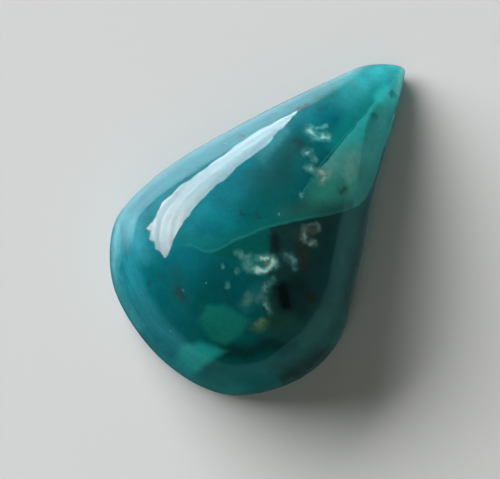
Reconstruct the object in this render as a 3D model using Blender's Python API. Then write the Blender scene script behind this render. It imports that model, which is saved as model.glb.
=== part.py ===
"""A polished teardrop cabochon of gem silica: one translucent stone with a flat back.

The outline is a closed smooth curve. The dome stands on it like a stretched film, full
and round over the wide butt, and falls evenly to the thin tip.
"""

import math

import bmesh
import bpy
import numpy as np
from mathutils import Vector

MM = 0.001

# Driving sizes. The long way of the stone is Y, with the tip at +Y and the back at Z = 0.
LENGTH = 29.9 * MM
WIDTH = 19.1 * MM
HEIGHT = 7.6 * MM

# The back edge is eased by a small bevel, up to the girdle, the widest line of the stone.
BEVEL_INSET = 0.5 * MM
GIRDLE_HEIGHT = 0.7 * MM

# The dome's section from girdle to crest: 0.5 gives half an ellipse.
SECTION_POWER = 0.5
# The crest falls to the tip over about this distance, with this power.
TIP_FALL = 9.0 * MM
TIP_POWER = 0.5

# The outline's own points in millimetres: the tip's corner, the left flank, the butt and
# the right flank. LENGTH and WIDTH set the final size of the outline.
OUTLINE_POINTS = (
    (1.59, 14.94),
    (-0.75, 13.48),
    (-2.60, 10.35),
    (-5.86, 3.98),
    (-8.52, -2.16),
    (-9.45, -6.20),
    (-9.34, -8.46),
    (-6.66, -12.16),
    (-0.45, -14.79),
    (5.00, -14.32),
    (8.65, -10.54),
    (9.56, -6.44),
    (7.62, -0.52),
    (5.28, 5.00),
    (3.46, 10.40),
    (2.01, 14.29),
)

# How finely the surface is divided, round the outline and from the girdle to the crest.
ROUND_STEPS = 96
RISE_STEPS = 14
SPLINE_STEPS = 40

# Edges sharper than this, in degrees, are shown crisp.
SHARP_ANGLE = 30

# The rows of faces run in from the outline to this line below the crest.
CREST_TIP = Vector((1.2, 12.9)) * MM
CREST_BUTT = Vector((0.2, -7.0)) * MM

STONE_COLOUR = (0.006, 0.155, 0.165, 1.0)
STONE_ROUGHNESS = 0.05

COLLECTION_NAME = "gem silica cabochon"
STONE_NAME = "gem_silica_cabochon"


def clear_scene():
    """Remove every object that the new file starts with."""
    for obj in list(bpy.data.objects):
        bpy.data.objects.remove(obj, do_unlink=True)


def closed_spline(knots, steps):
    """Points along the smooth closed curve through the knots, a centripetal spline."""
    count = len(knots)
    points = []
    for i in range(count):
        p0, p1, p2, p3 = (knots[(i + k - 1) % count] for k in range(4))
        t1 = (p1 - p0).length ** 0.5
        t2 = t1 + (p2 - p1).length ** 0.5
        t3 = t2 + (p3 - p2).length ** 0.5
        for step in range(steps):
            t = t1 + (t2 - t1) * step / steps
            a1 = p0.lerp(p1, t / t1)
            a2 = p1.lerp(p2, (t - t1) / (t2 - t1))
            a3 = p2.lerp(p3, (t - t2) / (t3 - t2))
            b1 = a1.lerp(a2, t / t2)
            b2 = a2.lerp(a3, (t - t1) / (t3 - t1))
            points.append(b1.lerp(b2, (t - t1) / (t2 - t1)))
    return np.array(points)


def evenly_spaced(points, count):
    """The closed run of points taken again at equal steps along its length."""
    closed = np.vstack([points, points[:1]])
    steps = np.linalg.norm(np.diff(closed, axis=0), axis=1)
    run = np.concatenate([[0.0], np.cumsum(steps)])
    wanted = run[-1] * np.arange(count) / count
    return np.column_stack([np.interp(wanted, run, closed[:, k]) for k in (0, 1)])


def girdle_outline():
    """The stone's outline at the girdle, set to LENGTH by WIDTH and centred."""
    curve = closed_spline([Vector(p) for p in OUTLINE_POINTS], SPLINE_STEPS)
    outline = evenly_spaced(curve, ROUND_STEPS)
    low, high = outline.min(axis=0), outline.max(axis=0)
    return (outline - (low + high) / 2) * np.array([WIDTH, LENGTH]) / (high - low)


def distance_inside(places, outline):
    """A smooth stand-in for how far each place is from the outline (mean value).

    It is the true distance near the outline and has no crease anywhere inside.
    """
    to_start = outline[None] - places[:, None]
    to_end = np.roll(outline, -1, axis=0)[None] - places[:, None]
    start_length = np.linalg.norm(to_start, axis=2)
    end_length = np.linalg.norm(to_end, axis=2)
    cross = to_start[..., 0] * to_end[..., 1] - to_start[..., 1] * to_end[..., 0]
    dot = (to_start * to_end).sum(axis=2)
    half_angle = cross / (start_length * end_length + dot)
    return 2 / (half_angle * (1 / start_length + 1 / end_length)).sum(axis=1)


def dome_shape(places, outline):
    """The polished surface's height over the girdle at each place, before it is scaled."""
    from_tip = np.linalg.norm(places - outline[0], axis=1)
    fall = (1 - np.exp(-from_tip / TIP_FALL)) ** TIP_POWER
    return distance_inside(places, outline) ** SECTION_POWER * fall


def crest_places():
    """The points under the crest that the outline's points are joined to."""
    turn = 2 * math.pi * np.arange(ROUND_STEPS) / ROUND_STEPS
    along = ((1 - np.cos(turn)) / 2)[:, None]
    return np.array(CREST_TIP) * (1 - along) + np.array(CREST_BUTT) * along


def inset(outline, distance):
    """The closed outline moved in by a distance."""
    ahead = np.roll(outline, -1, axis=0) - np.roll(outline, 1, axis=0)
    ahead /= np.linalg.norm(ahead, axis=1)[:, None]
    return outline + distance * np.column_stack([-ahead[:, 1], ahead[:, 0]])


def add_row(bm, places, heights):
    """New vertices at the places, each at its height."""
    return [bm.verts.new((x, y, z)) for (x, y), z in zip(places, heights)]


def join_rows(bm, lower, upper):
    """Faces between two closed rows of vertices."""
    count = len(lower)
    for i in range(count):
        after = (i + 1) % count
        bm.faces.new((lower[i], lower[after], upper[after], upper[i]))


def stone_mesh():
    """The stone's closed mesh: the flat back, the bevel, the dome's rows and the crest."""
    outline = girdle_outline()
    crest = crest_places()
    half = ROUND_STEPS // 2
    tallest = dome_shape(crest, outline).max()
    rise = HEIGHT - GIRDLE_HEIGHT

    bm = bmesh.new()
    back = add_row(bm, inset(outline, BEVEL_INSET), np.zeros(ROUND_STEPS))
    bm.faces.new(reversed(back))
    row = add_row(bm, outline, np.full(ROUND_STEPS, GIRDLE_HEIGHT))
    join_rows(bm, back, row)
    for step in range(1, RISE_STEPS):
        places = outline + (crest - outline) * (step / RISE_STEPS) ** 2
        heights = GIRDLE_HEIGHT + rise * dome_shape(places, outline) / tallest
        next_row = add_row(bm, places, heights)
        join_rows(bm, row, next_row)
        row = next_row
    heights = GIRDLE_HEIGHT + rise * dome_shape(crest, outline) / tallest
    line = add_row(bm, crest[: half + 1], heights)
    join_rows(bm, row, line + line[half - 1 : 0 : -1])

    mesh = bpy.data.meshes.new(STONE_NAME)
    bm.to_mesh(mesh)
    bm.free()
    return mesh


def polished_material():
    """The polished teal stone."""
    material = bpy.data.materials.new("gem_silica")
    material.use_nodes = True
    shader = material.node_tree.nodes["Principled BSDF"]
    shader.inputs["Base Color"].default_value = STONE_COLOUR
    shader.inputs["Roughness"].default_value = STONE_ROUGHNESS
    shader.inputs["Metallic"].default_value = 0.0
    material.diffuse_color = STONE_COLOUR
    return material


def add_stone(collection):
    """The stone as one object, smooth over the dome and crisp at the back's edges."""
    mesh = stone_mesh()
    mesh.materials.append(polished_material())
    mesh.shade_smooth()
    mesh.set_sharp_from_angle(angle=math.radians(SHARP_ANGLE))
    stone = bpy.data.objects.new(STONE_NAME, mesh)
    collection.objects.link(stone)


def main():
    clear_scene()
    collection = bpy.data.collections.new(COLLECTION_NAME)
    bpy.context.scene.collection.children.link(collection)
    add_stone(collection)


main()
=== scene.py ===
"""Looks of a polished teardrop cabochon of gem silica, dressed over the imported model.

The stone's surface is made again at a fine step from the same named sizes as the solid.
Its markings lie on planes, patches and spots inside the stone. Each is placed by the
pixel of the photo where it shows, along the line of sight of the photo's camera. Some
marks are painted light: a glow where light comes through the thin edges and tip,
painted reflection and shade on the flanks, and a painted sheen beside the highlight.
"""
import logging
import math
from dataclasses import dataclass, field
from enum import Enum

import bmesh
import bpy
import numpy as np
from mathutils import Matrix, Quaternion, Vector


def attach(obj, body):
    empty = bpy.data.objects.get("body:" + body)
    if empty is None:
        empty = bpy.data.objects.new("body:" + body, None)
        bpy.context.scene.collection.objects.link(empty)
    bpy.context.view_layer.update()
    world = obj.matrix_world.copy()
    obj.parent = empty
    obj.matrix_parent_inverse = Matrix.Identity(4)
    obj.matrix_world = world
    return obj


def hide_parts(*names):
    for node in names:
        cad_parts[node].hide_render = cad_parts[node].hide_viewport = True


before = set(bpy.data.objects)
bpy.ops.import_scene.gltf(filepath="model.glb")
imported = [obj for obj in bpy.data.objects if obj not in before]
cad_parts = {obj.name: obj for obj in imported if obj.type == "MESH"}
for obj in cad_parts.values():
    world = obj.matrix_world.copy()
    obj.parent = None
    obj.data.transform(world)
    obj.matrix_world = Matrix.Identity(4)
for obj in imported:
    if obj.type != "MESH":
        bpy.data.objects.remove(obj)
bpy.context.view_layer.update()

MM = 0.001
BODY = "root"
STONE_NODE = "gem_silica_cabochon"

PHOTO_WIDTH = 500
PHOTO_HEIGHT = 479

log = logging.getLogger("gem silica cabochon")

Colour = tuple[float, float, float]
Place = tuple[float, float, float]
Way = tuple[float, float, float]
Pixel = tuple[float, float]
Pixels = tuple[Pixel, ...]
# Where a soft step starts and where it is complete.
Span = tuple[float, float]

# Directions in the stone's frame, and what is kept of one that is laid level.
RIGHT_WAY: Way = (1.0, 0.0, 0.0)
TIP_WAY: Way = (0.0, 1.0, 0.0)
UP_WAY: Way = (0.0, 0.0, 1.0)
LEVEL: Way = (1.0, 1.0, 0.0)


class Lit(Enum):
    """What a lamp or a glowing pane lights, by the object's name."""

    ALL = ""
    STONE = "polished_stone"
    FLOOR = "floor"


@dataclass(frozen=True)
class Outline:
    """The girdle line of the stone, seen from above, in millimetres.

    The knots run from the tip's corner down the left flank, round the butt and up the
    right flank. The finished line is set to length by width and centred.
    """

    length: float = 29.9
    width: float = 19.1
    spline_steps: int = 60
    knots: tuple[tuple[float, float], ...] = (
        (1.59, 14.94),
        (-0.75, 13.48),
        (-2.60, 10.35),
        (-5.86, 3.98),
        (-8.52, -2.16),
        (-9.45, -6.20),
        (-9.34, -8.46),
        (-6.66, -12.16),
        (-0.45, -14.79),
        (5.00, -14.32),
        (8.65, -10.54),
        (9.56, -6.44),
        (7.62, -0.52),
        (5.28, 5.00),
        (3.46, 10.40),
        (2.01, 14.29),
    )

    def spline(self) -> np.ndarray:
        """The smooth closed curve through the knots (a centripetal Catmull-Rom curve).

        Returns:
            Points along the curve, one row each, the first knot first.
        """
        knots = np.array(self.knots)
        count = len(knots)
        points = []
        for i in range(count):
            p0, p1, p2, p3 = (knots[(i + k - 1) % count] for k in range(4))
            t1 = np.linalg.norm(p1 - p0) ** 0.5
            t2 = t1 + np.linalg.norm(p2 - p1) ** 0.5
            t3 = t2 + np.linalg.norm(p3 - p2) ** 0.5
            t = t1 + (t2 - t1) * np.arange(self.spline_steps)[:, None] / self.spline_steps
            a1 = p0 + (p1 - p0) * t / t1
            a2 = p1 + (p2 - p1) * (t - t1) / (t2 - t1)
            a3 = p2 + (p3 - p2) * (t - t2) / (t3 - t2)
            b1 = a1 + (a2 - a1) * t / t2
            b2 = a2 + (a3 - a2) * (t - t1) / (t3 - t1)
            points.append(b1 + (b2 - b1) * (t - t1) / (t2 - t1))
        return np.vstack(points)

    def points(self, count: int) -> np.ndarray:
        """The outline at equal steps.

        Args:
            count: How many points the closed line is divided into.

        Returns:
            The points, one row each, the tip's corner first.
        """
        curve = self.spline()
        closed = np.vstack([curve, curve[:1]])
        run = np.concatenate([[0.0], np.cumsum(np.linalg.norm(np.diff(closed, axis=0), axis=1))])
        wanted = run[-1] * np.arange(count) / count
        outline = np.column_stack([np.interp(wanted, run, closed[:, k]) for k in (0, 1)])
        low, high = outline.min(axis=0), outline.max(axis=0)
        return (outline - (low + high) / 2) * np.array([self.width, self.length]) / (high - low)


@dataclass
class Dome:
    """The polished surface over the outline, in millimetres."""

    outline: Outline = field(default_factory=Outline)
    height: float = 7.6
    girdle_height: float = 0.7
    bevel_inset: float = 0.5
    section_power: float = 0.5
    tip_fall: float = 9.0
    tip_power: float = 0.5
    crest_tip: tuple[float, float] = (1.2, 12.9)
    crest_butt: tuple[float, float] = (0.2, -7.0)
    edge_count: int = 384
    crest_samples: int = 300
    crest_reach: float = 1.5
    aside_samples: int = 41
    places_at_once: int = 4000

    def __post_init__(self) -> None:
        """Keep the outline's points and the tallest place of the unscaled shape."""
        self.edge = self.outline.points(self.edge_count)
        crest = self.crest(np.linspace(0, 1, self.crest_samples)[:, None])
        aside = np.linspace(-self.crest_reach, self.crest_reach, self.aside_samples)
        near = [crest + np.array([shift, 0.0]) for shift in aside]
        self.tallest = self.shape(np.vstack(near)).max()

    def crest(self, along: np.ndarray) -> np.ndarray:
        """Places on the crest line for a column of parts, 0 at the tip and 1 at the butt."""
        return np.array(self.crest_tip) * (1 - along) + np.array(self.crest_butt) * along

    def distance_inside(self, places: np.ndarray) -> np.ndarray:
        """A smooth stand-in for the distance from the outline, by mean value.

        Args:
            places: Places in the plan, one row each.

        Returns:
            The stand-in for each place, 0 outside the outline.
        """
        inside = np.empty(len(places))
        for first in range(0, len(places), self.places_at_once):
            part = places[first : first + self.places_at_once]
            to_start = self.edge[None] - part[:, None]
            to_end = np.roll(self.edge, -1, axis=0)[None] - part[:, None]
            start = np.linalg.norm(to_start, axis=2)
            end = np.linalg.norm(to_end, axis=2)
            cross = to_start[..., 0] * to_end[..., 1] - to_start[..., 1] * to_end[..., 0]
            dot = (to_start * to_end).sum(axis=2)
            with np.errstate(divide="ignore", invalid="ignore"):
                pull = cross / (start * end + dot) * (1 / start + 1 / end)
                inside[first : first + self.places_at_once] = 2 / pull.sum(axis=1)
        return np.where(np.isfinite(inside) & (inside > 0), inside, 0)

    def shape(self, places: np.ndarray) -> np.ndarray:
        """The surface's height over the girdle, before it is scaled.

        Args:
            places: Places in the plan, one row each.

        Returns:
            The height for each place, in a unit of its own.
        """
        from_tip = np.linalg.norm(places - self.edge[0], axis=1)
        fall = (1 - np.exp(-from_tip / self.tip_fall)) ** self.tip_power
        return self.distance_inside(places) ** self.section_power * fall

    def heights(self, places: np.ndarray) -> np.ndarray:
        """The surface's height over the flat back at each place."""
        rise = self.height - self.girdle_height
        return self.girdle_height + rise * self.shape(places) / self.tallest

    def meet(self, start: Vector, way: Vector, steps: int = 400) -> Vector:
        """Where a line from above first meets the dome.

        Args:
            start: The line's start, in millimetres.
            way: The line's direction, pointing down.
            steps: How many places along the line are tried.

        Returns:
            The place on the dome.
        """
        first = (self.height - start.z) / way.z
        last = -start.z / way.z
        runs = np.linspace(first, last, steps)
        track = np.array(start)[None] + runs[:, None] * np.array(way)[None]
        over = track[:, 2] - np.where(self.shape(track[:, :2]) > 0, self.heights(track[:, :2]), 0)
        below = int(np.argmax(over <= 0))
        part = over[below - 1] / (over[below - 1] - over[below])
        return start + way * (runs[below - 1] + (runs[below] - runs[below - 1]) * part)

    def normal(self, place: Vector, step: float = 0.001) -> Vector:
        """The dome's outward direction at a place.

        Args:
            place: A place on the dome, in millimetres.
            step: How far to each side the slope is measured.

        Returns:
            The direction, of length one.
        """
        near = np.array([place.xy] * 4) + step * np.array([[1, 0], [-1, 0], [0, 1], [0, -1]])
        high = self.heights(near)
        slope = (high[0::2] - high[1::2]) / (2 * step)
        return Vector((-slope[0], -slope[1], 1.0)).normalized()


@dataclass(frozen=True)
class Eye:
    """The photo's point of view: a long lens, above the stone and on its butt end's side."""

    azimuth: float = 34.0
    elevation: float = 70.0
    distance: float = 220.0
    mm_per_pixel: float = 0.0754
    aim: Place = (-0.84, -3.58, 0.0)
    aim_pixel: Pixel = (243.0, 243.0)
    sensor: float = 36.0
    nearest: float = 0.01
    farthest: float = 20.0

    def back(self) -> Vector:
        """The direction from the stone to the camera.

        Returns:
            The direction, of length one.
        """
        turn, rise = math.radians(self.azimuth), math.radians(self.elevation)
        flat = math.cos(rise)
        return Vector((math.sin(turn) * flat, -math.cos(turn) * flat, math.sin(rise)))

    def turn(self) -> Quaternion:
        """The camera's rotation."""
        return (-self.back()).to_track_quat("-Z", "Y")

    def right(self) -> Vector:
        """The direction that points right in the photo."""
        return self.turn() @ Vector((1, 0, 0))

    def up(self) -> Vector:
        """The direction that points up in the photo."""
        return self.turn() @ Vector((0, 1, 0))

    def focal_pixels(self) -> float:
        """The lens's focal length in pixels of the photo."""
        return self.distance / self.mm_per_pixel

    def place(self) -> Vector:
        """Where the camera stands.

        Returns:
            The place, in millimetres.
        """
        across = (self.aim_pixel[0] - PHOTO_WIDTH / 2) * self.mm_per_pixel
        along = (PHOTO_HEIGHT / 2 - self.aim_pixel[1]) * self.mm_per_pixel
        centre = Vector(self.aim) + self.back() * self.distance
        return centre - self.right() * across - self.up() * along

    def ray(self, pixel: Pixel) -> Vector:
        """The direction of the line of sight through a pixel of the photo.

        Args:
            pixel: The place in the photo, from its top left corner.

        Returns:
            The direction, away from the camera, of length one.
        """
        across = (pixel[0] - PHOTO_WIDTH / 2) / self.focal_pixels()
        along = (PHOTO_HEIGHT / 2 - pixel[1]) / self.focal_pixels()
        return (self.right() * across + self.up() * along - self.back()).normalized()

    def build(self) -> bpy.types.Object:
        """Set up the scene's camera.

        Returns:
            The camera's object.
        """
        data = bpy.data.cameras.new("camera")
        data.sensor_width = self.sensor
        data.lens = self.sensor * self.focal_pixels() / PHOTO_WIDTH
        data.clip_start = self.nearest
        data.clip_end = self.farthest
        camera = bpy.data.objects.new("camera", data)
        camera.rotation_mode = "QUATERNION"
        camera.rotation_quaternion = self.turn()
        camera.location = self.place() * MM
        bpy.context.scene.collection.objects.link(camera)
        bpy.context.scene.camera = camera
        return camera


class Sock:
    """An output socket in a node tree, on which Python's operators add Math nodes."""

    def __init__(self, tree: "Tree", socket: bpy.types.NodeSocket) -> None:
        """Wrap one output socket of a tree."""
        self.tree = tree
        self.socket = socket

    def math(self, operation: str, *others: "Sock | float", clamp: bool = False) -> "Sock":
        """A Math node with this value first and the others, sockets or numbers, after it."""
        return self.tree.math(operation, self, *others, clamp=clamp)

    def __add__(self, other: "Sock | float") -> "Sock":
        """The sum."""
        return self.math("ADD", other)

    def __radd__(self, other: float) -> "Sock":
        """The sum, number first."""
        return self.tree.math("ADD", other, self)

    def __sub__(self, other: "Sock | float") -> "Sock":
        """The difference."""
        return self.math("SUBTRACT", other)

    def __rsub__(self, other: float) -> "Sock":
        """The difference, number first."""
        return self.tree.math("SUBTRACT", other, self)

    def __mul__(self, other: "Sock | float") -> "Sock":
        """The product."""
        return self.math("MULTIPLY", other)

    def __rmul__(self, other: float) -> "Sock":
        """The product, number first."""
        return self.tree.math("MULTIPLY", other, self)

    def __truediv__(self, other: "Sock | float") -> "Sock":
        """The quotient."""
        return self.math("DIVIDE", other)

    def __abs__(self) -> "Sock":
        """The size without the sign."""
        return self.math("ABSOLUTE")

    def least(self, other: "Sock | float") -> "Sock":
        """The smaller of two values."""
        return self.math("MINIMUM", other)

    def most(self, other: "Sock | float") -> "Sock":
        """The larger of two values."""
        return self.math("MAXIMUM", other)

    def smooth(self, low: float, high: float) -> "Sock":
        """A smooth step.

        Args:
            low: Where the step is 0.
            high: Where the step is 1; it may be the smaller of the two.

        Returns:
            The step.
        """
        low_out, high_out = (0.0, 1.0) if low < high else (1.0, 0.0)
        ends = {
            "Value": self,
            "From Min": min(low, high),
            "From Max": max(low, high),
            "To Min": low_out,
            "To Max": high_out,
        }
        return self.tree.node("ShaderNodeMapRange", {"interpolation_type": "SMOOTHSTEP"}, ends)


class Tree:
    """A node tree that is written as expressions."""

    CLOUD_ROUGHNESS = 0.55
    # The Mix node's factor and colours, and its mixed colour, by their places.
    MIX_INPUTS = (0, 6, 7)
    MIX_OUTPUT = 2

    def __init__(self, nodes: bpy.types.NodeTree) -> None:
        """Wrap a material's or a world's node tree."""
        self.nodes = nodes

    def node(
        self,
        kind: str,
        settings: dict[str, object] | None = None,
        sockets: dict[str | int, object] | None = None,
        output: str | int = 0,
    ) -> Sock:
        """Any node: its settings are set first, then its sockets.

        Args:
            kind: The node's type name.
            settings: Its settings by name; "curve" sets a Float Curve's points.
            sockets: Its inputs by name or place, as values or wrapped sockets.
            output: The output that is wanted.

        Returns:
            The wanted output.
        """
        node = self.nodes.nodes.new(kind)
        for name, value in (settings or {}).items():
            if name == "curve":
                self._set_curve(node.mapping, value)
            else:
                setattr(node, name, value)
        for name, value in (sockets or {}).items():
            if isinstance(value, Sock):
                self.nodes.links.new(value.socket, node.inputs[name])
            else:
                node.inputs[name].default_value = value
        return Sock(self, node.outputs[output])

    @staticmethod
    def _set_curve(mapping: bpy.types.CurveMapping, points: list[Pixel]) -> None:
        """Give a Float Curve its points.

        Args:
            mapping: The node's curve.
            points: The points, from left to right.
        """
        curve = mapping.curves[0]
        curve.points[0].location = points[0]
        curve.points[1].location = points[-1]
        for point in points[1:-1]:
            curve.points.new(*point)
        mapping.update()

    def math(self, operation: str, *values: Sock | float, clamp: bool = False) -> Sock:
        """A Math node on values or numbers."""
        settings = {"operation": operation, "use_clamp": clamp}
        return self.node("ShaderNodeMath", settings, dict(enumerate(values)))

    def vector(self, operation: str, *values: object, output: str | int = 0) -> Sock:
        """A Vector Math node."""
        settings = {"operation": operation}
        return self.node("ShaderNodeVectorMath", settings, dict(enumerate(values)), output)

    def dot(self, first: Sock, second: Way) -> Sock:
        """The dot product of a vector and a fixed direction."""
        return self.vector("DOT_PRODUCT", first, second, output="Value")

    def scaled(self, vector: object, factor: Sock | float) -> Sock:
        """A vector or a colour, times one number."""
        sockets = {"Vector": vector, "Scale": factor}
        return self.node("ShaderNodeVectorMath", {"operation": "SCALE"}, sockets)

    def mix(self, factor: Sock | float, first: object, second: object) -> Sock:
        """A colour between two colours.

        Args:
            factor: How much of the second colour there is.
            first: A wrapped socket or three linear channels.
            second: The same.

        Returns:
            The colour.
        """
        pair = (first, second)
        colours = (c if isinstance(c, Sock) else (*c, 1.0) for c in pair)
        sockets = dict(zip(self.MIX_INPUTS, (factor, *colours)))
        return self.node("ShaderNodeMix", {"data_type": "RGBA"}, sockets, self.MIX_OUTPUT)

    def noise(self, place: Sock, size: float, detail: float = 3.0, output: str = "Fac") -> Sock:
        """Soft random cloud.

        Args:
            place: The place that is shaded.
            size: How far across one lump is, in the place's own unit.
            detail: How many times finer lumps are added.
            output: "Fac" for a value or "Color" for three at once.

        Returns:
            The cloud, about 0.5 on average.
        """
        sockets = {"Vector": place, "Scale": 1 / size, "Detail": detail}
        sockets["Roughness"] = self.CLOUD_ROUGHNESS
        return self.node("ShaderNodeTexNoise", None, sockets, output)


@dataclass(frozen=True)
class Spot:
    """A round or long mark: every place within reach of the line between its two ends."""

    start: Pixel
    end: Pixel
    reach: float
    soft: float = 1.5


class Sight:
    """Masks inside the stone, laid out as the photo shows them.

    A place in the stone is turned to the pixel where the photo's camera sees it. The
    camera's place and directions are fixed numbers here, so the marks stay in the stone.
    """

    def __init__(self, tree: Tree, eye: Eye, waver: float, waver_size: float) -> None:
        """Work out the pixel of the shaded place.

        Args:
            tree: The material's tree.
            eye: The photo's point of view.
            waver: How far an edge strays from its line, in pixels.
            waver_size: How long one stray is, in millimetres.
        """
        self.tree = tree
        self.body = tree.scaled(tree.node("ShaderNodeTexCoord", output="Object"), 1 / MM)
        from_eye = tree.vector("SUBTRACT", self.body, tuple(eye.place()))
        depth = tree.dot(from_eye, tuple(-eye.back()))
        across = tree.dot(from_eye, tuple(eye.right() * eye.focal_pixels())) / depth
        down = tree.dot(from_eye, tuple(eye.up() * -eye.focal_pixels())) / depth
        sockets = {0: across + PHOTO_WIDTH / 2, 1: down + PHOTO_HEIGHT / 2}
        pixel = tree.node("ShaderNodeCombineXYZ", None, sockets)
        stray = tree.noise(self.body, waver_size, detail=2.0, output="Color")
        stray = tree.vector("MULTIPLY_ADD", stray, (2 * waver,) * 3, (-waver,) * 3)
        self.pixel = tree.vector("ADD", pixel, stray)
        parts = tree.node("ShaderNodeSeparateXYZ", None, {0: self.pixel}).socket.node.outputs
        self.x = Sock(tree, parts[0])
        self.y = Sock(tree, parts[1])

    def distance(self, start: Pixel, end: Pixel) -> Sock:
        """The distance from a straight line.

        Args:
            start: One end of the line.
            end: Its other end, which may be the same pixel.

        Returns:
            The distance, in pixels.
        """
        run = Vector(end) - Vector(start)
        if run.length == 0:
            return self.tree.vector("DISTANCE", self.pixel, (*start, 0.0), output="Value")
        ahead = run / run.length_squared
        part = self.tree.dot(self.pixel, (*ahead, 0.0))
        part = self.tree.math("SUBTRACT", part, ahead.dot(Vector(start)), clamp=True)
        foot = self.tree.vector("ADD", self.tree.scaled((*run, 0.0), part), (*start, 0.0))
        return self.tree.vector("DISTANCE", self.pixel, foot, output="Value")

    def spot(self, spot: Spot) -> Sock:
        """1 inside a mark and 0 outside it."""
        inner = max(spot.reach - spot.soft, 0.0)
        return self.distance(spot.start, spot.end).smooth(spot.reach + spot.soft, inner)

    def spots(self, spots: tuple[Spot, ...]) -> Sock:
        """1 inside any of several marks.

        Args:
            spots: The marks.

        Returns:
            The mask, 0 outside all of them.
        """
        mask = self.spot(spots[0])
        for other in spots[1:]:
            mask = mask.most(self.spot(other))
        return mask

    def line(self, points: Pixels, reach: float, soft: float) -> Sock:
        """1 along a line of several straight runs."""
        pairs = zip(points, points[1:])
        return self.spots(tuple(Spot(start, end, reach, soft) for start, end in pairs))

    def gap(self, start: Pixel, end: Pixel) -> Sock:
        """How far a place lies to one side of a line.

        Args:
            start: A pixel on the line.
            end: A pixel further along it.

        Returns:
            The distance in pixels, above 0 on the right-hand side.
        """
        run = (Vector(end) - Vector(start)).normalized()
        inwards = Vector((-run.y, run.x))
        return self.tree.dot(self.pixel, (*inwards, 0.0)) - inwards.dot(Vector(start))

    def depth(self, corners: Pixels) -> Sock:
        """How far a place lies inside a convex patch.

        Args:
            corners: The patch's corners, clockwise.

        Returns:
            The distance in pixels from its nearest side, below 0 outside it.
        """
        first, *others = (self.gap(*ends) for ends in zip(corners, corners[1:] + corners[:1]))
        for gap in others:
            first = first.least(gap)
        return first

    def patch(self, corners: Pixels, soft: float) -> Sock:
        """1 inside a convex patch, its corners set clockwise, and 0 outside it."""
        return self.depth(corners).smooth(-soft, soft)

    def side(self, start: Pixel, end: Pixel, soft: float) -> Sock:
        """1 on the right-hand side of the line from start to end, and 0 on its left."""
        return self.gap(start, end).smooth(-soft, soft)

    def below(self, points: Pixels) -> Sock:
        """How far a place lies below a curve.

        Args:
            points: Pixels along the curve, from left to right.

        Returns:
            The distance in pixels, straight down.
        """
        settings = {"curve": [(x / PHOTO_WIDTH, y / PHOTO_WIDTH) for x, y in points]}
        high = self.tree.node("ShaderNodeFloatCurve", settings, {"Value": self.x / PHOTO_WIDTH})
        return self.y - high * PHOTO_WIDTH


@dataclass(frozen=True)
class Patch:
    """Marks of one colour inside the stone, under or over what is there already."""

    colour: Colour
    strength: float
    spots: tuple[Spot, ...]
    ragged: float = 0.0

    def over(self, sight: Sight, below: Sock, tufts: Sock | None = None) -> Sock:
        """Lay the marks over a colour.

        Args:
            sight: Where the marks lie.
            below: The colour under them.
            tufts: Random cloud that breaks ragged marks up.

        Returns:
            The new colour.
        """
        mask = sight.spots(self.spots)
        if self.ragged:
            mask = mask * (1 - self.ragged + tufts * self.ragged)
        return sight.tree.mix(mask * self.strength, below, self.colour)


@dataclass(frozen=True)
class Facet:
    """A flat-sided patch of one colour, its corners set clockwise."""

    colour: Colour
    strength: float
    soft: float
    corners: Pixels

    def over(self, sight: Sight, below: Sock) -> Sock:
        """The colour with this patch laid over it."""
        mask = sight.patch(self.corners, self.soft) * self.strength
        return sight.tree.mix(mask, below, self.colour)


@dataclass(frozen=True)
class EdgeGlow:
    """A painted glow along a stretch of the stone's low edge, by height and by the photo's
    pixels.
    """

    colour: Colour
    strength: float
    height: Span
    across: Span
    down: Span | None = None

    def over(self, sight: Sight, below: Sock) -> Sock:
        """Lay the painted glow over a colour.

        Args:
            sight: Where the glow lies.
            below: The colour under it.

        Returns:
            The new colour.
        """
        high = sight.tree.dot(sight.body, UP_WAY)
        mask = high.smooth(*self.height) * sight.x.smooth(*self.across)
        if self.down:
            mask = mask * sight.y.smooth(*self.down)
        return sight.tree.mix(mask * self.strength, below, self.colour)


# The curved crack that crosses the stone, from left to right, and how soft its sides are.
SEAM: Pixels = (
    (120, 240), (191, 247), (209, 252), (237, 240.5), (271, 227), (297, 221), (329, 215),
    (349, 209.5), (363, 201.5), (371, 188), (377, 172), (386, 142), (404, 110),
)
SEAM_SOFT = 0.8


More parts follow.
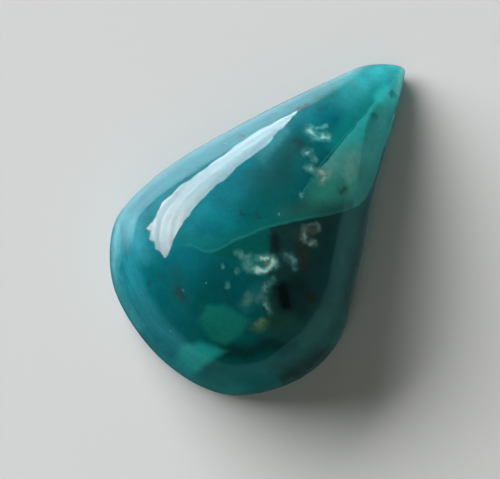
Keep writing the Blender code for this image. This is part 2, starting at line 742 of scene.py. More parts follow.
@dataclass(frozen=True)
class Clouds:
    """The stone's colour: blue on the left, teal on the right, and a tip made paler by painted
    glow.
    """

    blue: Colour = (0.002, 0.150, 0.182)
    teal: Colour = (0.000, 0.088, 0.090)
    teal_from: Span = (400.0, 500.0)
    slant: float = 0.95
    drift_size: float = 4.5
    drift_reach: float = 70.0
    # Painted glow of light coming through the thin tip, laid as a paler tint.
    tip: Colour = (0.034, 0.330, 0.365)
    tip_glow_line: Pixels = ((396, 84), (374, 76))
    tip_glow_reach: Span = (62.0, 14.0)
    patches: tuple[Patch, ...] = (
        Patch((0.008, 0.072, 0.071), 0.80, (Spot((270, 182), (292, 150), 12, 24),)),
        Patch((0.000, 0.098, 0.090), 0.60, (Spot((250, 206), (264, 198), 6, 16),)),
        Patch((0.001, 0.172, 0.196), 0.72, (Spot((203, 210), (226, 223), 7, 13),)),
        Patch((0.001, 0.114, 0.128), 0.72, (Spot((160, 272), (188, 324), 10, 18),)),
        # Painted glow: brighter blue on the thin left and lower left flank, where light comes
        # through.
        Patch((0.010, 0.205, 0.255), 0.85, (Spot((128, 262), (148, 308), 6, 9),)),
        Patch((0.009, 0.190, 0.235), 0.75, (Spot((152, 322), (192, 368), 10, 10),)),
        Patch((0.000, 0.068, 0.084), 0.60, (Spot((222, 282), (242, 302), 14, 18),)),
        Patch((0.001, 0.027, 0.025), 0.82, (Spot((227, 350), (292, 346), 6, 9),)),
        Patch((0.010, 0.064, 0.064), 0.85, (Spot((356, 214), (343, 300), 8, 9),)),
        Patch((0.008, 0.052, 0.046), 0.90, (Spot((344, 304), (316, 348), 9, 9),)),
        Patch((0.006, 0.036, 0.034), 0.75, (Spot((312, 353), (276, 366), 6, 9),)),
        Patch((0.007, 0.033, 0.028), 0.76, (Spot((324, 355), (292, 373), 4, 9),)),
        Patch((0.011, 0.124, 0.124), 0.80, (Spot((318, 98), (332, 94), 5, 12),)),
        Patch((0.014, 0.180, 0.182), 0.50, (Spot((340, 88), (354, 94), 6, 12),)),
        # Painted reflection: pale blue where the left flank mirrors the bright sill, by the
        # highlight's lower end.
        Patch((0.038, 0.290, 0.350), 0.60, (Spot((134, 224), (142, 254), 7, 9),)),
        Patch((0.010, 0.150, 0.142), 0.80, (Spot((210, 385), (242, 389), 7, 8),)),
        Patch((0.020, 0.150, 0.165), 0.80, (Spot((340, 76), (376, 60), 5, 9),)),
    )

    def colour(self, sight: Sight, broad: Sight) -> Sock:
        """The colour before any crack or fleck.

        Args:
            sight: Where the large tints lie.
            broad: The same with wide wavers, for the soft patches.

        Returns:
            The colour.
        """
        tree = sight.tree
        drift = tree.noise(sight.body, self.drift_size)
        across = sight.x + sight.y * self.slant + (drift - 0.5) * self.drift_reach
        colour = tree.mix(across.smooth(*self.teal_from), self.blue, self.teal)
        tip = sight.distance(*self.tip_glow_line).smooth(*self.tip_glow_reach)
        colour = tree.mix(tip, colour, self.tip)
        for patch in self.patches:
            colour = patch.over(broad, colour)
        return colour


@dataclass(frozen=True)
class DarkHeart:
    """The dark, clear heart of the stone under the seam, and the flat patches beside it."""

    cell: Facet = Facet(
        (0.001, 0.082, 0.065), 0.7, 1.0, ((209, 252), (270, 226), (267, 256), (240, 262))
    )
    corners: Pixels = (
        (270, 226), (372, 180), (362, 285), (312, 345), (262, 337), (262, 305), (267, 254),
    )
    soft: Span = (-1.5, 4.0)
    strength: float = 0.94
    torn_side: Pixels = ((262, 300), (262, 200))
    torn_soft: float = 3.0
    torn_size: float = 0.9
    torn_reach: float = 16.0
    smoky: Colour = (0.006, 0.032, 0.029)
    smoky_low: Colour = (0.009, 0.058, 0.052)
    low_from: Span = (285.0, 325.0)
    smoky_side: Colour = (0.009, 0.058, 0.056)
    side_from: Span = (322.0, 352.0)
    green: Facet = Facet(
        (0.006, 0.172, 0.134), 0.78, 4.0,
        ((207, 306), (225, 305), (250, 321), (240, 336), (226, 345), (212, 340), (198, 321)),
    )
    teal: Facet = Facet(
        (0.014, 0.310, 0.300), 0.85, 4.5,
        ((200, 342), (224, 351), (188, 378), (172, 364), (182, 346)),
    )

    def over(self, sight: Sight, below: Sock) -> Sock:
        """Lay the heart and the patches over a colour.

        Args:
            sight: Where they lie.
            below: The colour under them.

        Returns:
            The new colour.
        """
        tree = sight.tree
        under = sight.below(SEAM).smooth(-SEAM_SOFT, SEAM_SOFT)
        colour = self.cell.over(sight, below)
        ragged = (tree.noise(sight.body, self.torn_size, detail=4.0) - 0.5) * self.torn_reach
        torn = sight.side(*self.torn_side, self.torn_soft)
        dark = (sight.depth(self.corners) + ragged * torn).smooth(*self.soft)
        smoke = tree.mix(sight.y.smooth(*self.low_from), self.smoky, self.smoky_low)
        smoke = tree.mix(sight.x.smooth(*self.side_from), smoke, self.smoky_side)
        colour = tree.mix(dark * under * self.strength, colour, smoke)
        return self.teal.over(sight, self.green.over(sight, colour))


@dataclass(frozen=True)
class HealedCracks:
    """The seam, a straight crack above it, the milky wedge between the two, and painted shade on
    its right flank.
    """

    veil: Colour = (0.006, 0.172, 0.134)
    veil_depth: Span = (-26.0, 0.0)
    veil_strength: float = 0.35
    seam_shown: Span = (172.0, 196.0)
    vein: Colour = (0.030, 0.270, 0.260)
    vein_lift: float = 1.2
    vein_reach: Span = (2.6, 0.2)
    vein_fade: Span = (400.0, 230.0)
    vein_strength: float = 0.27

    crack: Pixels = ((303, 191), (324, 160), (386, 88))
    crack_soft: float = 1.0
    crack_reach: float = 0.4
    crack_fade: float = 0.9
    crack_strength: float = 0.45
    dark: Colour = (0.004, 0.235, 0.222)
    dark_line: Pixels = ((339, 142), (380, 95))
    dark_reach: Span = (18.0, 4.0)
    dark_strength: float = 0.75

    wedge_high: Colour = (0.042, 0.430, 0.425)
    wedge_mid: Colour = (0.085, 0.320, 0.292)
    mid_from: Span = (132.0, 162.0)
    wedge_low: Colour = (0.040, 0.260, 0.210)
    low_from: Span = (162.0, 184.0)
    wedge_foot: Colour = (0.014, 0.072, 0.062)
    foot_depth: Span = (-22.0, -3.0)
    foot_strength: float = 0.88
    wedge_shown: Span = (292.0, 330.0)
    wedge_strength: float = 0.85

    # Painted shade along the wedge's steep right flank, beyond the line where it mirrors the
    # shaded floor.
    shaded_flank: Colour = (0.028, 0.255, 0.235)
    shaded_flank_low: Colour = (0.024, 0.175, 0.158)
    shaded_flank_low_from: Span = (148.0, 182.0)
    shaded_flank_edge: Pixels = ((381, 92), (366, 124), (353, 206))
    shaded_flank_soft: float = 1.8
    shaded_flank_shown: Span = (96.0, 112.0)
    shaded_flank_strength: float = 0.85

    def milk(self, sight: Sight, under: Sock) -> Sock:
        """The wedge's own colour.

        Args:
            sight: Where the wedge lies.
            under: How far a place lies under the seam, in pixels.

        Returns:
            The colour, greener low down, with painted shade along the steep right flank.
        """
        tree = sight.tree
        milk = tree.mix(sight.y.smooth(*self.mid_from), self.wedge_high, self.wedge_mid)
        milk = tree.mix(sight.y.smooth(*self.low_from), milk, self.wedge_low)
        foot = under.smooth(*self.foot_depth) * self.foot_strength
        milk = tree.mix(foot, milk, self.wedge_foot)
        high, bend, low = self.shaded_flank_edge
        outer = sight.side(low, bend, self.shaded_flank_soft) * sight.side(bend, high, self.shaded_flank_soft)
        shaded_flank = tree.mix(sight.y.smooth(*self.shaded_flank_low_from), self.shaded_flank, self.shaded_flank_low)
        return tree.mix(outer * sight.y.smooth(*self.shaded_flank_shown) * self.shaded_flank_strength, milk, shaded_flank)

    def over(self, sight: Sight, below: Sock) -> Sock:
        """Lay the cracks and the wedge over a colour.

        Args:
            sight: Where they lie.
            below: The colour under them.

        Returns:
            The new colour.
        """
        tree = sight.tree
        under = sight.below(SEAM)
        above = under.smooth(SEAM_SOFT, -SEAM_SOFT)
        shown = sight.x.smooth(*self.seam_shown)
        veil = under.smooth(*self.veil_depth) * above
        colour = tree.mix(veil * shown * self.veil_strength, below, self.veil)
        right = sight.side(self.crack[0], self.crack[-1], self.crack_soft)
        beside = sight.distance(*self.dark_line).smooth(*self.dark_reach) * (1 - right)
        colour = tree.mix(beside * self.dark_strength, colour, self.dark)
        wedge = right * above * sight.x.smooth(*self.wedge_shown)
        colour = tree.mix(wedge * self.wedge_strength, colour, self.milk(sight, under))
        line = abs(under + self.vein_lift).smooth(*self.vein_reach)
        line = line * shown * sight.x.smooth(*self.vein_fade)
        colour = tree.mix(line * self.vein_strength, colour, self.vein)
        edge = sight.line(self.crack, self.crack_reach, self.crack_fade)
        return tree.mix(edge * self.crack_strength, colour, self.vein)


@dataclass(frozen=True)
class ThinEdgeGlow:
    """Painted glow where light comes through the thin edge and tip, and on the shaded right
    bevel.
    """

    left: EdgeGlow = EdgeGlow((0.010, 0.230, 0.290), 0.8, (4.6, 1.6), (215.0, 140.0))
    low: EdgeGlow = EdgeGlow((0.012, 0.190, 0.195), 0.6, (3.2, 1.2), (260.0, 200.0), (300.0, 350.0))
    # Painted glow: the bright crescent on the thin left rim.
    crescent: Facet = Facet(
        (0.010, 0.240, 0.285), 0.85, 1.2,
        ((118, 221), (121, 236), (121, 262), (117, 283), (111, 268), (110, 246), (113, 230)),
    )
    # Painted light on the low bevel along the right flank, which lies in shade.
    right: EdgeGlow = EdgeGlow((0.014, 0.310, 0.300), 0.7, (1.4, 0.6), (335.0, 362.0), (300.0, 265.0))
    # Painted glow of light through the thin tip and along its right edge.
    tip: Patch = Patch((0.050, 0.600, 0.620), 0.7, (
        Spot((386, 91), (380, 97), 5, 6),
        Spot((403, 76), (399, 92), 3, 3),
    ))

    def over(self, sight: Sight, below: Sock) -> Sock:
        """Lay the painted glow over a colour.

        Args:
            sight: Where they lie.
            below: The colour under them.

        Returns:
            The new colour.
        """
        for tint in (self.left, self.low, self.crescent, self.right, self.tip):
            below = tint.over(sight, below)
        return below


@dataclass(frozen=True)
class Flecks:
    """Soft hazes, some of them painted glow, white cottony puffs and dark specks, the specks on
    top.
    """

    tuft_size: float = 0.34
    tufted: Span = (0.32, 0.64)
    hazes: tuple[Patch, ...] = (
        Patch((0.022, 0.020, 0.015), 0.75, (Spot((301, 240), (304, 266), 3, 6),)),
        Patch((0.016, 0.016, 0.011), 0.70, (Spot((309, 295), (311, 299), 2, 5),)),
        Patch((0.005, 0.024, 0.022), 0.75, (Spot((330, 352), (284, 379), 3, 8),)),
        Patch((0.000, 0.001, 0.001), 0.95, (Spot((283, 290), (286, 305), 4, 11),)),
        Patch((0.002, 0.010, 0.009), 0.75, (Spot((274, 238), (279, 256), 3, 6),)),
        Patch((0.001, 0.014, 0.013), 0.55, (Spot((298, 282), (302, 310), 6, 10),)),
        Patch((0.006, 0.048, 0.055), 0.55, (Spot((332, 240), (322, 292), 4, 8),)),
        Patch((0.018, 0.044, 0.034), 0.50, (Spot((297, 208), (304, 206), 2, 7),)),
        Patch((0.022, 0.050, 0.042), 0.45, (Spot((294, 232), (298, 238), 2, 6),)),
        Patch((0.012, 0.072, 0.074), 0.40, (Spot((176, 266), (179, 290), 2, 7),)),
        Patch((0.020, 0.052, 0.050), 0.60, (Spot((178, 291), (183, 299), 2, 7),)),
        Patch((0.200, 0.440, 0.405), 0.45, (Spot((352, 156), (349, 178), 2, 8),)),
        Patch((0.060, 0.110, 0.095), 0.40, (Spot((353, 84), (355, 85), 2, 7),)),
        Patch((0.012, 0.044, 0.022), 0.55, (Spot((270, 321), (284, 320), 2, 8),)),
        Patch((0.012, 0.160, 0.150), 0.60, (Spot((245, 305), (256, 292), 5, 8),)),
        Patch((0.010, 0.120, 0.112), 0.50, (Spot((268, 281), (262, 300), 4, 7),)),
        Patch((0.018, 0.100, 0.095), 0.45, (Spot((283, 254), (294, 261), 3, 6),)),
        Patch((0.022, 0.115, 0.097), 0.50, (Spot((284, 213), (312, 207), 4, 9),)),
        Patch((0.004, 0.175, 0.180), 0.45, (Spot((194, 241), (206, 237), 3, 7),)),
        Patch((0.012, 0.170, 0.160), 0.35, (Spot((310, 132), (326, 133), 5, 9),)),
        Patch((0.008, 0.110, 0.100), 0.35, (Spot((308, 150), (312, 168), 4, 7),)),
        Patch((0.016, 0.165, 0.150), 0.60, (Spot((249, 263), (271, 263), 5, 8),)),
        # Painted sheen: a pale glow beside the highlight's inner edge.
        Patch((0.060, 0.290, 0.340), 0.45, (Spot((262, 156), (284, 131), 2, 8),)),
        Patch((0.010, 0.225, 0.275), 0.45, (Spot((190, 226), (204, 208), 3, 9),)),
        # Painted glow along the thin lower left rim, where light comes through.
        Patch((0.040, 0.290, 0.330), 0.75, (
            Spot((112, 268), (121, 298), 3, 6),
            Spot((121, 298), (138, 327), 3, 6),
        )),
    )
    puffs: tuple[Patch, ...] = (
        Patch((0.110, 0.380, 0.370), 0.80, (
            Spot((310, 130), (315, 136), 3, 5),
            Spot((316, 136), (328, 137), 2.5, 4),
            Spot((318, 128), (325, 127), 1, 3),
        ), 0.60),
        Patch((0.330, 0.600, 0.590), 0.90, (
            Spot((310, 130), (312, 133), 0.8, 2.8),
            Spot((323, 136), (328, 137), 0.6, 2.8),
        ), 0.35),
        Patch((0.090, 0.290, 0.275), 0.85, (
            Spot((305, 152), (309, 153), 2, 4),
            Spot((313, 157), (315, 160), 1.5, 3.5),
            Spot((308, 167), (312, 169), 2, 4),
            Spot((302, 196), (301, 194), 1, 3),
        ), 0.60),
        Patch((0.240, 0.460, 0.440), 0.80, (
            Spot((307, 152), (309, 153), 0.4, 2.2),
            Spot((310, 168), (311, 169), 0.4, 2.2),
        ), 0.30),
        Patch((0.075, 0.250, 0.230), 0.85, (
            Spot((248, 258), (249, 267), 3, 5),
            Spot((252, 269), (262, 271), 2, 4),
            Spot((273, 258), (275, 264), 3, 4.5),
            Spot((258, 258), (270, 257), 2, 4),
            Spot((238, 253), (244, 257), 2, 4),
            Spot((237, 270), (237, 272), 1.5, 3),
            Spot((227, 284), (227, 286), 1.5, 3),
            Spot((222, 265), (223, 267), 1, 2.5),
        ), 0.60),
        Patch((0.440, 0.680, 0.570), 0.92, (
            Spot((257, 270), (266, 270), 1.3, 3.2),
            Spot((269, 268), (273, 261), 1.3, 3.3),
            Spot((262, 259), (268, 258), 0.4, 2.5),
        ), 0.35),
        Patch((0.060, 0.170, 0.160), 0.85, (
            Spot((286, 255), (292, 258), 2, 4),
            Spot((293, 259), (295, 268), 1.5, 3.2),
            Spot((273, 279), (267, 286), 1.5, 4),
            Spot((266, 286), (264, 292), 2, 4),
            Spot((262, 294), (258, 300), 2, 4),
            Spot((265, 300), (270, 313), 1.5, 4),
            Spot((250, 295), (246, 303), 2, 4.5),
        ), 0.60),
        Patch((0.170, 0.330, 0.310), 0.80, (
            Spot((291, 258), (294, 261), 0.6, 2.6),
            Spot((265, 287), (264, 290), 0.6, 2.6),
            Spot((265, 304), (267, 308), 0.3, 2.4),
        ), 0.35),
        Patch((0.090, 0.160, 0.140), 0.90, (
            Spot((304, 228), (304, 238), 2, 4),
            Spot((306, 241), (315, 243), 2, 4),
            Spot((305, 226), (317, 224), 0.4, 3),
            Spot((318, 225), (319, 231), 0.8, 3),
        ), 0.50),
        Patch((0.200, 0.290, 0.255), 0.80, (
            Spot((304, 233), (305, 237), 0.5, 2.6),
            Spot((311, 243), (315, 242), 0.5, 2.6),
        ), 0.35),
        Patch((0.075, 0.080, 0.068), 0.80, (Spot((310, 230), (314, 231), 2, 4.5),), 0.30),
        Patch((0.160, 0.290, 0.240), 0.85, (
            Spot((320, 172), (328, 173), 2.5, 5),
            Spot((323, 181), (326, 177), 2, 4.5),
        ), 0.55),
        Patch((0.330, 0.440, 0.350), 0.80, (
            Spot((321, 172), (324, 173), 0.5, 3),
            Spot((323, 180), (324, 178), 0.3, 2.4),
        ), 0.35),
        Patch((0.046, 0.125, 0.074), 1.0, (Spot((256, 327), (263, 324), 5, 5),), 0.30),
        Patch((0.120, 0.230, 0.140), 0.85, (Spot((258, 324), (262, 321), 1.5, 4),), 0.50),
        # A pale thin rim along the tip's corner.
        Patch((0.200, 0.520, 0.510), 0.75, (Spot((404, 66), (399, 92), 2.0, 3.4),)),
        Patch((0.150, 0.330, 0.320), 0.80, (
            Spot((182.5, 290), (183.5, 290), 0.4, 1.2),
            Spot((170, 332), (170, 332.2), 0.3, 0.9),
            Spot((225, 144), (226, 144), 0.3, 1.2),
            Spot((278, 214), (278, 215), 0.3, 1.2),
            Spot((206, 283), (206, 284), 0.2, 1.0),
        )),
    )
    specks: tuple[Patch, ...] = (
        Patch((0.200, 0.130, 0.070), 0.75, (Spot((266, 263), (268, 264), 0.8, 2.6),), 0.40),
        Patch((0.028, 0.032, 0.024), 0.85, (Spot((341, 192), (345, 190), 2.0, 4),), 0.40),
        Patch((0.022, 0.032, 0.027), 0.80, (Spot((299, 109), (307, 105), 2, 3),), 0.40),
        Patch((0.028, 0.045, 0.040), 0.70, (
            Spot((179, 293), (182, 297), 1, 3.5),
            Spot((240, 135), (243, 137), 1, 2.5),
            Spot((312, 227), (311, 230), 1, 2.5),
        ), 0.60),
        Patch((0.010, 0.038, 0.034), 0.70, (
            Spot((296, 141), (300, 145), 2.5, 4),
            Spot((296, 141), (300, 145), 1, 3),
            Spot((257, 215), (258, 216), 1.8, 3),
            Spot((374, 115), (375, 117), 2, 3),
            Spot((391, 93), (393, 95), 2, 3),
            Spot((241, 213), (243, 215), 1.5, 3),
            Spot((245, 347), (247, 349), 2, 3),
            Spot((149, 282), (149, 283), 1, 3),
        ), 0.60),
    )

    def over(self, sight: Sight, below: Sock) -> Sock:
        """Lay the flecks over a colour.

        Args:
            sight: Where they lie.
            below: The colour under them.

        Returns:
            The new colour.
        """
        tufts = sight.tree.noise(sight.body, self.tuft_size).smooth(*self.tufted)
        for patch in self.hazes + self.puffs + self.specks:
            below = patch.over(sight, below, tufts)
        return below


@dataclass(frozen=True)
class Wisps:
    """Fine cloud all through, and faint painted reflection bands that follow the left flank."""

    wisp_size: float = 1.4
    wisp_depth: float = 0.55
    grain_size: float = 0.30
    grain_depth: float = 0.35
    # Painted reflection: faint bands on the left flank, as the polish mirrors streaks of light.
    reflection_band_size: float = 0.22
    reflection_band_depth: float = 0.6
    reflection_band_squash: Way = (0.12, 0.12, 1.0)
    left: Span = (230.0, 130.0)

    def over(self, sight: Sight, below: Sock) -> Sock:
        """Lighten and darken a colour by the cloud and the painted reflection bands.

        Args:
            sight: Where the painted reflection bands lie.
            below: The colour.

        Returns:
            The new colour.
        """
        tree = sight.tree
        wisps = tree.noise(sight.body, self.wisp_size, detail=5.0) - 0.5
        grain = tree.noise(sight.body, self.grain_size, detail=4.0) - 0.5
        reflection_band_place = tree.vector("MULTIPLY", sight.body, self.reflection_band_squash)
        reflection_bands = (tree.noise(reflection_band_place, self.reflection_band_size) - 0.5) * sight.x.smooth(*self.left)
        shade = 1 + wisps * self.wisp_depth + grain * self.grain_depth + reflection_bands * self.reflection_band_depth
        return tree.scaled(below, shade)


@dataclass(frozen=True)
class Polish:
    """The polish on the stone: smudges and pits in its shine, and faint waves."""

    roughness: float = 0.025
    smudge: float = 0.035
    smudge_size: float = 2.6
    smudged: Span = (0.45, 0.70)
    pit: float = 0.20
    pit_size: float = 0.11
    pitted: Span = (0.68, 0.74)
    pit_depth: float = 0.3
    wave_size: float = 1.9
    wave_height: float = 0.000025

    def sockets(self, sight: Sight) -> tuple[Sock, Sock]:
        """Work out the polish at a place.

        Args:
            sight: The place.

        Returns:
            The roughness and the bumped direction of the surface.
        """
        tree = sight.tree
        smudges = tree.noise(sight.body, self.smudge_size, detail=4.0).smooth(*self.smudged)
        pits = tree.noise(sight.body, self.pit_size, detail=2.0).smooth(*self.pitted)
        rough = smudges * self.smudge + pits * self.pit + self.roughness
        height = tree.noise(sight.body, self.wave_size, detail=2.0) - pits * self.pit_depth
        bump = {"Strength": 1.0, "Distance": self.wave_height, "Height": height}
        return rough, tree.node("ShaderNodeBump", None, bump)


@dataclass(frozen=True)
class GemSilica:
    """The stone's finish: a clear skin over teal matter with clouds, cracks, flecks and painted
    light.

    A waver is how far an edge strays, in pixels, and how long one stray is, in millimetres.
    """

    eye: Eye
    clouds: Clouds = Clouds()
    heart: DarkHeart = DarkHeart()
    cracks: HealedCracks = HealedCracks()
    # Painted glow along the thin edges and the tip.
    edge: ThinEdgeGlow = ThinEdgeGlow()
    flecks: Flecks = Flecks()
    wisps: Wisps = Wisps()
    polish: Polish = Polish()
    edge_waver: tuple[float, float] = (2.0, 0.9)
    cloud_waver: tuple[float, float] = (10.0, 2.6)
    fleck_waver: tuple[float, float] = (3.6, 0.55)
    gain: float = 1.84
    refraction: float = 1.54
    mirror_tint: Colour = (0.96, 0.93, 0.94)
    clear: float = 0.35
    milky: float = 1.0
    scatter: Colour = (0.25, 1.0, 0.9)
    scatter_depth: float = 0.004
    absorbed: Colour = (0.0, 0.72, 0.75)
    density: float = 200.0

    def colour(self, tree: Tree, sight: Sight) -> Sock:
        """The colour of the matter in the stone, with its painted glow, shade and reflection.

        Args:
            tree: The material's tree.
            sight: Where the large marks lie.

        Returns:
            The colour.
        """
        colour = self.clouds.colour(sight, Sight(tree, self.eye, *self.cloud_waver))
        for layer in (self.heart, self.cracks, self.edge):
            colour = layer.over(sight, colour)
        colour = self.flecks.over(Sight(tree, self.eye, *self.fleck_waver), colour)
        return tree.scaled(self.wisps.over(sight, colour), self.gain)

    def material(self) -> bpy.types.Material:
        """Make the stone's material.

        Returns:
            The material.
        """
        material = bpy.data.materials.new("polished_gem_silica")
        material.use_nodes = True
        tree = Tree(material.node_tree)
        sight = Sight(tree, self.eye, *self.edge_waver)
        rough, bumped = self.polish.sockets(sight)
        shader = material.node_tree.nodes["Principled BSDF"]
        output = material.node_tree.nodes["Material Output"]
        links = material.node_tree.links
        links.new(self.colour(tree, sight).socket, shader.inputs["Base Color"])
        links.new(rough.socket, shader.inputs["Roughness"])
        links.new(bumped.socket, shader.inputs["Normal"])
        shader.inputs["IOR"].default_value = self.refraction
        shader.inputs["Specular Tint"].default_value = (*self.mirror_tint, 1.0)
        shader.inputs["Transmission Weight"].default_value = self.clear
        shader.inputs["Subsurface Weight"].default_value = self.milky
        shader.inputs["Subsurface Radius"].default_value = self.scatter
        shader.inputs["Subsurface Scale"].default_value = self.scatter_depth
        sockets = {"Color": (*self.absorbed, 1.0), "Density": self.density}
        inside = tree.node("ShaderNodeVolumeAbsorption", None, sockets)
        links.new(inside.socket, output.inputs["Volume"])
        return material


@dataclass
class Stone:
    """The polished stone as one fine closed mesh, with its finish."""

    dome: Dome
    finish: GemSilica
    rise_steps: int = 60
    crowding: int = 2
    crease: float = 30.0

    def rows(self) -> tuple[list[np.ndarray], np.ndarray]:
        """Lay out the mesh, in millimetres, with its rings crowded towards the edge.

        Returns:
            The rings of points from the back up, and the points of the crest from the tip
            to the butt.
        """
        dome = self.dome
        edge = dome.edge
        turn = 2 * math.pi * np.arange(len(edge)) / len(edge)
        crest = dome.crest(((1 - np.cos(turn)) / 2)[:, None])
        ahead = np.roll(edge, -1, axis=0) - np.roll(edge, 1, axis=0)
        ahead /= np.linalg.norm(ahead, axis=1)[:, None]
        inwards = np.column_stack([-ahead[:, 1], ahead[:, 0]])
        flat = np.zeros((len(edge), 1))
        rows = [
            np.hstack([edge + dome.bevel_inset * inwards, flat]),
            np.hstack([edge, flat + dome.girdle_height]),
        ]
        for step in range(1, self.rise_steps):
            places = edge + (crest - edge) * (step / self.rise_steps) ** self.crowding
            rows.append(np.column_stack([places, dome.heights(places)]))
        top = np.column_stack([crest, dome.heights(crest)])[: len(edge) // 2 + 1]
        return rows, top

    def mesh(self) -> bpy.types.Mesh:
        """Make the stone's mesh, smooth but for its sharp lower edges.

        Returns:
            The mesh.
        """
        rows, top = self.rows()
        bm = bmesh.new()
        rings = [[bm.verts.new(p * MM) for p in row] for row in rows]
        line = [bm.verts.new(p * MM) for p in top]
        rings.append(line + line[-2:0:-1])
        bm.faces.new(reversed(rings[0]))
        for lower, upper in zip(rings, rings[1:]):
            for i in range(len(lower)):
                after = (i + 1) % len(lower)
                corners = (lower[i], lower[after], upper[after], upper[i])
                bm.faces.new(list(dict.fromkeys(corners)))
        mesh = bpy.data.meshes.new(Lit.STONE.value)
        bm.to_mesh(mesh)
        bm.free()
        mesh.shade_smooth()
        mesh.set_sharp_from_angle(angle=math.radians(self.crease))
        return mesh

    def build(self) -> bpy.types.Object:
        """Put the finished stone in the scene, in place of its solid.

        Returns:
            The stone's object.
        """
        stone = bpy.data.objects.new(Lit.STONE.value, self.mesh())
        bpy.context.scene.collection.objects.link(stone)
        stone.data.materials.append(self.finish.material())
        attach(stone, BODY)
        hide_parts(STONE_NODE)
        return stone


def light_only(source: bpy.types.Object, lit: Lit) -> None:
    """Let a lamp or a glowing pane light one object alone.

    Args:
        source: The lamp or the pane.
        lit: What it lights.
    """
    group = bpy.data.collections.new(source.name + "_lights")
    group.objects.link(bpy.data.objects[lit.value])
    source.light_linking.receiver_collection = group


@dataclass(frozen=True)
class Window:
    """The window: a bright pane whose mirror image in the dome is the photo's highlight.

    Each corner of the highlight is traced from the camera to the dome and mirrored there,
    on to the upright plane that the pane lies in. It is fainter towards both ends and
    towards its inner side, with soft streaks along it. Its spans are in metres.
    """

    eye: Eye
    dome: Dome
    centre: Place = (-235.7, 131.5, 134.0)
    faces: Way = (0.976, 0.175, -0.135)
    across: Way = (0.0, 0.386, 1.0)
    radiance: float = 12.1
    colour: Colour = (1.0, 0.985, 0.99)
    far_colour: Colour = (0.90, 1.0, 1.08)
    far_tinted: Span = (0.05, 0.25)
    near_end: Span = (-0.10, 0.0)
    near_least: float = 0.55
    far_end: Span = (0.0, 0.14)
    far_fade: float = 0.22
    outer_side: Span = (0.240, 0.205)
    outer_gain: float = 0.22
    inner_least: float = 0.82
    streak_size: float = 0.024
    streak_squash: float = 0.06
    streaked: Span = (0.36, 0.64)
    streak_depth: float = 0.44
    streak_least: float = 0.72
    highlight: Pixels = (
        (146, 228), (152, 222), (156, 216), (159, 210), (162, 204), (167, 198), (173, 192),
        (179, 186), (190, 180), (197, 174), (206, 168), (213, 162), (222, 156), (231, 150),
        (238, 144), (247, 138), (256, 132), (268, 126), (279, 120), (297, 111), (290, 120),
        (284, 126), (278, 132), (274, 138), (268, 144), (260, 150), (252, 156), (244, 162),
        (235, 168), (229, 174), (222, 180), (215, 186), (208, 192), (203, 198), (198, 204),
        (192, 210), (188, 216), (184, 222), (180, 228), (177, 234), (173, 240), (171, 246),
        (169, 253), (165, 260), (160, 252), (155, 249), (154, 242), (149, 239), (151, 232),
    )

    def mirrored(self, pixel: Pixel) -> Vector:
        """The place on the pane's plane that the dome mirrors at a pixel.

        Args:
            pixel: The place in the photo.

        Returns:
            The place, in millimetres.
        """
        sight = self.eye.ray(pixel)
        place = self.dome.meet(self.eye.place(), sight)
        normal = self.dome.normal(place)
        way = sight - 2 * sight.dot(normal) * normal
        plane = Vector(self.faces).normalized()
        return place + way * ((Vector(self.centre) - place).dot(plane) / way.dot(plane))

    def glow(self) -> bpy.types.Material:
        """Make the pane's light.

        Returns:
            The glowing material.
        """
        material = bpy.data.materials.new("window_glow")
        material.use_nodes = True
        tree = Tree(material.node_tree)
        place = tree.node("ShaderNodeTexCoord", output="Object")
        along = tree.dot(place, TIP_WAY)
        across = tree.dot(place, self.across)
        end = along.smooth(*self.near_end) * (1 - self.near_least) + self.near_least
        end = end - along.smooth(*self.far_end) * self.far_fade
        side = across.smooth(*self.outer_side) * self.outer_gain + self.inner_least
        sockets = {0: along * self.streak_squash, 1: across}
        stretched = tree.node("ShaderNodeCombineXYZ", None, sockets)
        streaks = tree.noise(stretched, self.streak_size, detail=5.0).smooth(*self.streaked)
        streaks = streaks * self.streak_depth + self.streak_least
        colour = tree.mix(along.smooth(*self.far_tinted), self.colour, self.far_colour)
        colour = tree.scaled(colour, end * side * streaks)
        sockets = {"Color": colour, "Strength": self.radiance}
        glow = tree.node("ShaderNodeEmission", None, sockets)
        output = material.node_tree.nodes["Material Output"]
        material.node_tree.links.new(glow.socket, output.inputs["Surface"])
        return material

    def build(self) -> bpy.types.Object:
        """Put the pane in the scene, unseen by the camera and with no shadow of its own.

        Returns:
            The pane's object.
        """
        bm = bmesh.new()
        bm.faces.new([bm.verts.new(self.mirrored(pixel) * MM) for pixel in self.highlight])
        bmesh.ops.triangulate(bm, faces=bm.faces)
        mesh = bpy.data.meshes.new("window_pane")
        bm.to_mesh(mesh)
        bm.free()
        mesh.materials.append(self.glow())
        pane = bpy.data.objects.new("window_pane", mesh)
        pane.visible_camera = False
        pane.visible_shadow = False
        bpy.context.scene.collection.objects.link(pane)
        light_only(pane, Lit.STONE)
        return pane


@dataclass(frozen=True)
class Lamp:
    """A wide faint lamp, too soft to be mirrored in the polish, aimed at the stone."""

    name: str
    place: Place
    width: float
    height: float
    radiance: float
    colour: Colour = (1.0, 1.0, 1.0)
    lit: Lit = Lit.ALL

    def build(self) -> bpy.types.Object:
        """Put the lamp in the scene.

        Returns:
            The lamp's object.
        """
        data = bpy.data.lights.new(self.name, "AREA")
        data.shape = "RECTANGLE"
        data.size = self.width
        data.size_y = self.height
        data.energy = self.radiance * math.pi * self.width * self.height
        data.color = self.colour
        lamp = bpy.data.objects.new(self.name, data)
        lamp.location = self.place
        lamp.rotation_euler = Vector(self.place).to_track_quat("Z", "Y").to_euler()
        lamp.visible_camera = False
        lamp.visible_glossy = False
        lamp.visible_transmission = False
        bpy.context.scene.collection.objects.link(lamp)
        if self.lit is not Lit.ALL:
            light_only(lamp, self.lit)
        return lamp


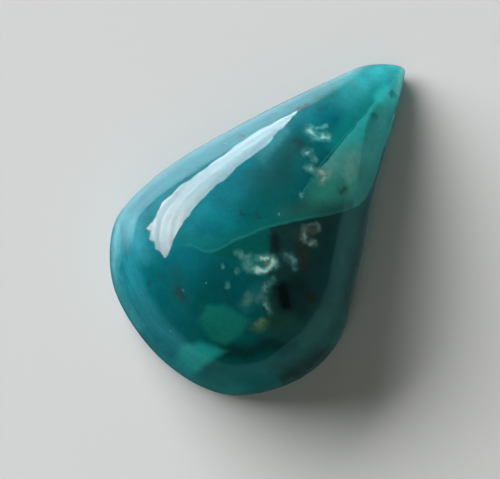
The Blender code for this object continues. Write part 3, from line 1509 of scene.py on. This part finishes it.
LAMPS = (
    Lamp(
        "fill_lamp", place=(0.35, -0.95, 0.80), width=0.9, height=0.9, radiance=1.3,
        colour=(1.0, 0.97, 0.82),
    ),
    Lamp(
        "side_lamp", place=(-1.88, 0.16, 0.72), width=2.64, height=1.04, radiance=17.0,
        lit=Lit.FLOOR,
    ),
    Lamp(
        "glow_lamp", place=(0.42, 0.12, 0.16), width=0.20, height=0.20, radiance=4.5,
        lit=Lit.STONE,
    ),
)


@dataclass(frozen=True)
class Room:
    """The dim room round the stone, as the polish mirrors it.

    The stone mirrors this and not the floor: dark high up, a little paler low down, and
    bright in streaks on the sill at the foot of the window. A rise is the upward part of a
    direction of length one, and a reach is how nearly a direction agrees with a fixed one.
    The far end of the sill is the end beyond the stone's tip.
    """

    high: Colour = (0.030, 0.034, 0.035)
    low: Colour = (0.165, 0.350, 0.350)
    high_rise: Span = (0.015, 0.095)
    right_reach: Span = (0.75, 1.0)
    rise_right: float = 0.24
    foot: Colour = (0.050, 0.065, 0.065)
    low_rise: Span = (-0.75, -0.10)
    halo: Colour = (0.20, 0.22, 0.23)
    pane_way: Way = (-0.782, 0.436, 0.446)
    halo_reach: Span = (0.70, 1.0)
    halo_rise: Span = (0.1, 0.3)
    backdrop: Colour = (0.62, 0.63, 0.64)

    sill: Colour = (2.52, 3.12, 3.50)
    sill_way: Way = (-0.951, 0.309, 0.0)
    sill_reach: Span = (0.72, 0.94)
    far_reach: Span = (0.15, 0.60)
    far_fade: float = 0.14
    slope_rise: Span = (-0.40, -0.06)
    slope: float = 0.50
    far_slope_loss: float = 0.12
    lowest: Span = (-0.92, -0.55)
    far_lowest: Span = (-1.15, -0.45)
    ledge: Span = (0.13, 0.06)
    over_ledge: float = 0.25
    highest: Span = (0.50, 0.30)
    streak_size: float = 0.05
    streak_squash: Way = (0.15, 0.15, 1.0)
    streak_depth: float = 0.8
    streak_least: float = 0.6

    def sill_share(self, tree: Tree, way: Sock, level_way: Sock, rise: Sock) -> Sock:
        """How much of the bright sill is seen in a direction.

        Args:
            tree: The world's tree.
            way: The direction.
            level_way: The same direction, laid level.
            rise: Its upward part.

        Returns:
            The share.
        """
        share = tree.dot(level_way, self.sill_way).smooth(*self.sill_reach)
        far = tree.dot(level_way, TIP_WAY).smooth(*self.far_reach)
        slope = self.slope - far * self.far_slope_loss
        lowest = rise.smooth(*self.lowest) * (1 - far) + rise.smooth(*self.far_lowest) * far
        share = share * (rise.smooth(*self.slope_rise) * slope + 1 - slope) * lowest
        ledge = rise.smooth(*self.ledge) * (1 - self.over_ledge) + self.over_ledge
        share = share * ledge * rise.smooth(*self.highest) * (1 - far * self.far_fade)
        squashed = tree.vector("MULTIPLY", way, self.streak_squash)
        streaks = tree.noise(squashed, self.streak_size, detail=4.0)
        return share * (streaks * self.streak_depth + self.streak_least)

    def build(self) -> bpy.types.World:
        """Make the room the scene's world.

        Returns:
            The world.
        """
        world = bpy.data.worlds.new("room")
        world.use_nodes = True
        bpy.context.scene.world = world
        tree = Tree(world.node_tree)
        way = tree.node("ShaderNodeTexCoord", output="Generated")
        rise = tree.dot(way, UP_WAY)
        level_way = tree.vector("NORMALIZE", tree.vector("MULTIPLY", way, LEVEL))
        right = tree.dot(level_way, RIGHT_WAY).smooth(*self.right_reach)
        low = tree.mix(rise.smooth(*self.low_rise), self.foot, self.low)
        wall = (rise - right * self.rise_right).smooth(*self.high_rise)
        colour = tree.mix(wall, low, self.high)
        halo = tree.dot(way, self.pane_way).smooth(*self.halo_reach)
        colour = tree.mix(halo * rise.smooth(*self.halo_rise), colour, self.halo)
        sill = self.sill_share(tree, way, level_way, rise)
        colour = tree.mix(sill, colour, self.sill)
        seen = tree.node("ShaderNodeLightPath", output="Is Camera Ray")
        colour = tree.mix(seen, colour, self.backdrop)
        background = world.node_tree.nodes["Background"]
        world.node_tree.links.new(colour.socket, background.inputs["Color"])
        return world


@dataclass(frozen=True)
class Floor:
    """The plain pale floor that the stone rests on."""

    size: float = 2.2
    gap: float = 0.00002
    colour: Colour = (0.565, 0.570, 0.570)
    roughness: float = 0.75
    shine: float = 0.0

    def build(self) -> bpy.types.Object:
        """Put the floor in the scene, unseen in the polish.

        Returns:
            The floor's object.
        """
        bpy.ops.mesh.primitive_plane_add(size=self.size, location=(0, 0, -self.gap))
        floor = bpy.context.object
        floor.name = Lit.FLOOR.value
        material = bpy.data.materials.new("pale_floor")
        material.use_nodes = True
        shader = material.node_tree.nodes["Principled BSDF"]
        shader.inputs["Base Color"].default_value = (*self.colour, 1.0)
        shader.inputs["Roughness"].default_value = self.roughness
        shader.inputs["Specular IOR Level"].default_value = self.shine
        floor.data.materials.append(material)
        floor.visible_glossy = False
        return floor


def main() -> None:
    """Build the stone and the studio round it."""
    logging.basicConfig(level=logging.INFO, format="%(name)s: %(message)s")
    bpy.context.scene.view_settings.view_transform = "Standard"
    eye = Eye()
    eye.build()
    dome = Dome()
    stone = Stone(dome, GemSilica(eye)).build()
    log.info("%s: %d faces", stone.name, len(stone.data.polygons))
    for maker in (Window(eye, dome), Room(), Floor(), *LAMPS):
        log.info("%s: built", maker.build().name)


if __name__ == "__main__":
    main()
